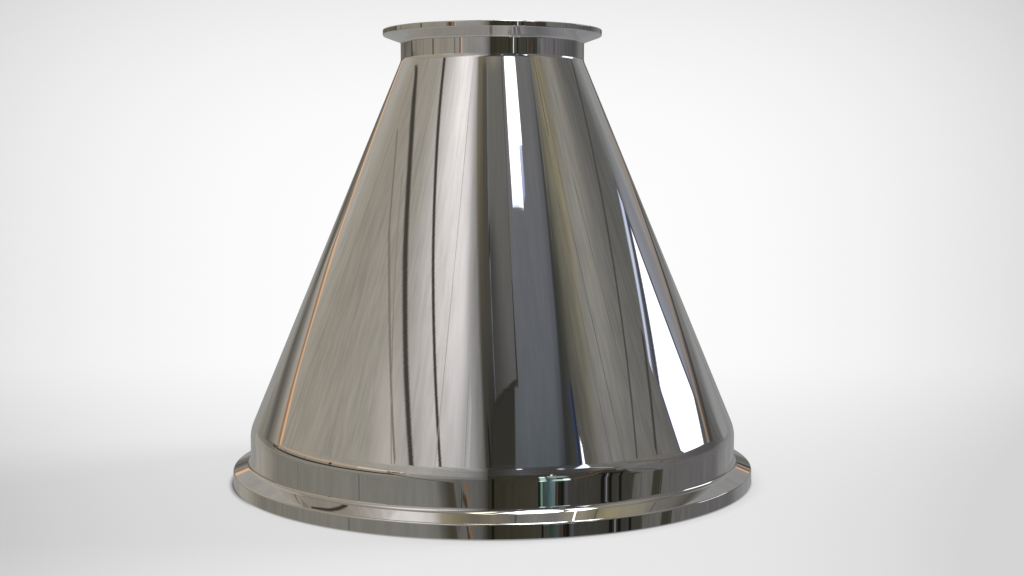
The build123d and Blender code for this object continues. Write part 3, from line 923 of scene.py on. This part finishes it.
def pale_level(s, direction):
    """Display level of the pale surroundings in a direction: brightest behind the part."""
    x, _, z = s.split(direction)
    aside = s.math("ABSOLUTE", s.minus(x, PALEST_AT[0]))
    above = s.math("MAXIMUM", s.minus(z, PALEST_AT[1]), 0.0)
    return s.minus(PALEST, s.plus(fall(s, aside, *SIDE_FALL), fall(s, above, *TOP_FALL)))


def pale_world():
    """The pale background that the camera sees, and an even light on everything else."""
    s = Shader(bpy.data.worlds.new("pale_surroundings"))
    direction = s.node("ShaderNodeTexCoord").outputs["Generated"]
    level = s.math("POWER", pale_level(s, direction), DISPLAY_POWER)
    pale = s.node("ShaderNodeBackground", {"Color": s.grey(level)}).outputs[0]
    ambient = s.node("ShaderNodeBackground", {"Color": (1, 1, 1, 1), "Strength": AMBIENT}).outputs[0]
    path = s.node("ShaderNodeLightPath").outputs
    seen = s.plus(path["Is Camera Ray"], path["Is Glossy Ray"], clamp=True)
    seen = s.plus(seen, path["Is Transmission Ray"], clamp=True)
    s.owner.cycles.sampling_method = "NONE"
    bpy.context.scene.world = s.finish(s.between(seen, ambient, pale))


def disc(name, radius, height, paint, segments=256):
    angles = [2 * pi * i / segments for i in range(segments)]
    rim = [(radius * cos(angle), radius * sin(angle), height) for angle in angles]
    piece = placed(name, new_mesh(name, rim, [tuple(range(segments))]))
    piece.data.materials.append(paint)
    return piece


def contact_shade(s, x, y, level):
    """The floor's display level, darker close to the flange that stands on it."""
    out = s.length(x, y)
    for depth, reach, run in CONTACT_SHADES:
        shade = s.smooth(out, LARGE_FLANGE_R - FACE_EDGE_ROUNDING, LARGE_FLANGE_R + reach, depth, 0.0)
        if run:
            shade = s.times(shade, s.smooth(x, *run))
        level = s.minus(level, shade)
    return level


def floor_paint():
    s = Shader(bpy.data.materials.new("pale_floor"))
    place = s.node("ShaderNodeNewGeometry").outputs["Position"]
    offset = s.node("ShaderNodeVectorMath", {0: place, 1: CAMERA_PLACE}, operation="SUBTRACT").outputs[0]
    direction = s.node("ShaderNodeVectorMath", {0: offset}, operation="NORMALIZE").outputs[0]
    x, y, _ = s.split(place)
    level = s.minus(pale_level(s, direction), s.smooth(y, *FRONT_RUN, 0.0, FRONT_FALL))
    level = contact_shade(s, x, y, s.math("MAXIMUM", level, DIMMEST_FLOOR))
    # The floor glows with what its own lit colour lacks of the level that the camera should see
    lit = FLOOR_TINT * (AMBIENT + WINDOW_SHARE)
    level = s.math("POWER", level, DISPLAY_POWER)
    lacking = s.math("MAXIMUM", s.minus(level, lit), 0.0)
    diffuse = s.diffuse(FLOOR_TINT)
    both = s.node("ShaderNodeAddShader", {0: s.emission(s.grey(lacking)), 1: diffuse}).outputs[0]
    camera_ray = s.node("ShaderNodeLightPath").outputs["Is Camera Ray"]
    s.owner.cycles.emission_sampling = "NONE"
    return s.finish(s.between(camera_ray, diffuse, both))


def pale_floor():
    """A pale floor that keeps the part's shadow and runs without a seam into the background."""
    disc("floor", FLOOR_RADIUS, -FLOOR_DROP, floor_paint()).visible_glossy = False


def bore_floor_paint():
    s = Shader(bpy.data.materials.new("floor_in_bore"))
    return s.finish(s.diffuse(BORE_FLOOR_TINT))


def floor_in_bore():
    """The floor that shows through the bore: it has only the light that falls in from above."""
    disc("floor_in_bore", LARGE_TUBE_R, -FLOOR_DROP / 2, bore_floor_paint())


def window_light():
    """Soft light from the side window, which lays the wide soft shadow on the left."""
    share = WINDOW_SHARE * pi / sin(radians(WINDOW_ELEVATION)) / len(WINDOW_AZIMUTHS)
    for azimuth in WINDOW_AZIMUTHS:
        lamp = bpy.data.lights.new(f"window_light_{azimuth}", "SUN")
        lamp.energy = share
        lamp.angle = radians(WINDOW_ANGLE)
        holder = placed(lamp.name, lamp)
        holder.rotation_euler = way_to(azimuth, WINDOW_ELEVATION).to_track_quat("Z", "Y").to_euler()
        holder.visible_glossy = False


def camera():
    data = bpy.data.cameras.new("camera")
    data.lens = CAMERA_LENS
    data.sensor_width = CAMERA_SENSOR
    data.clip_end = CAMERA_REACH
    holder = placed("camera", data)
    holder.location = CAMERA_PLACE
    holder.rotation_euler = (pi / 2 + CAMERA_PITCH, 0, 0)
    bpy.context.scene.camera = holder


def reducer():
    body = turned_body("polished_reducer", wall_outline())
    body.data.materials.append(polished_steel())
    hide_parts("reducer_body")
    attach(body, "root")


camera()
reducer()
hall()
pale_world()
pale_floor()
floor_in_bore()
window_light()
bpy.context.scene.view_settings.view_transform = "Standard"
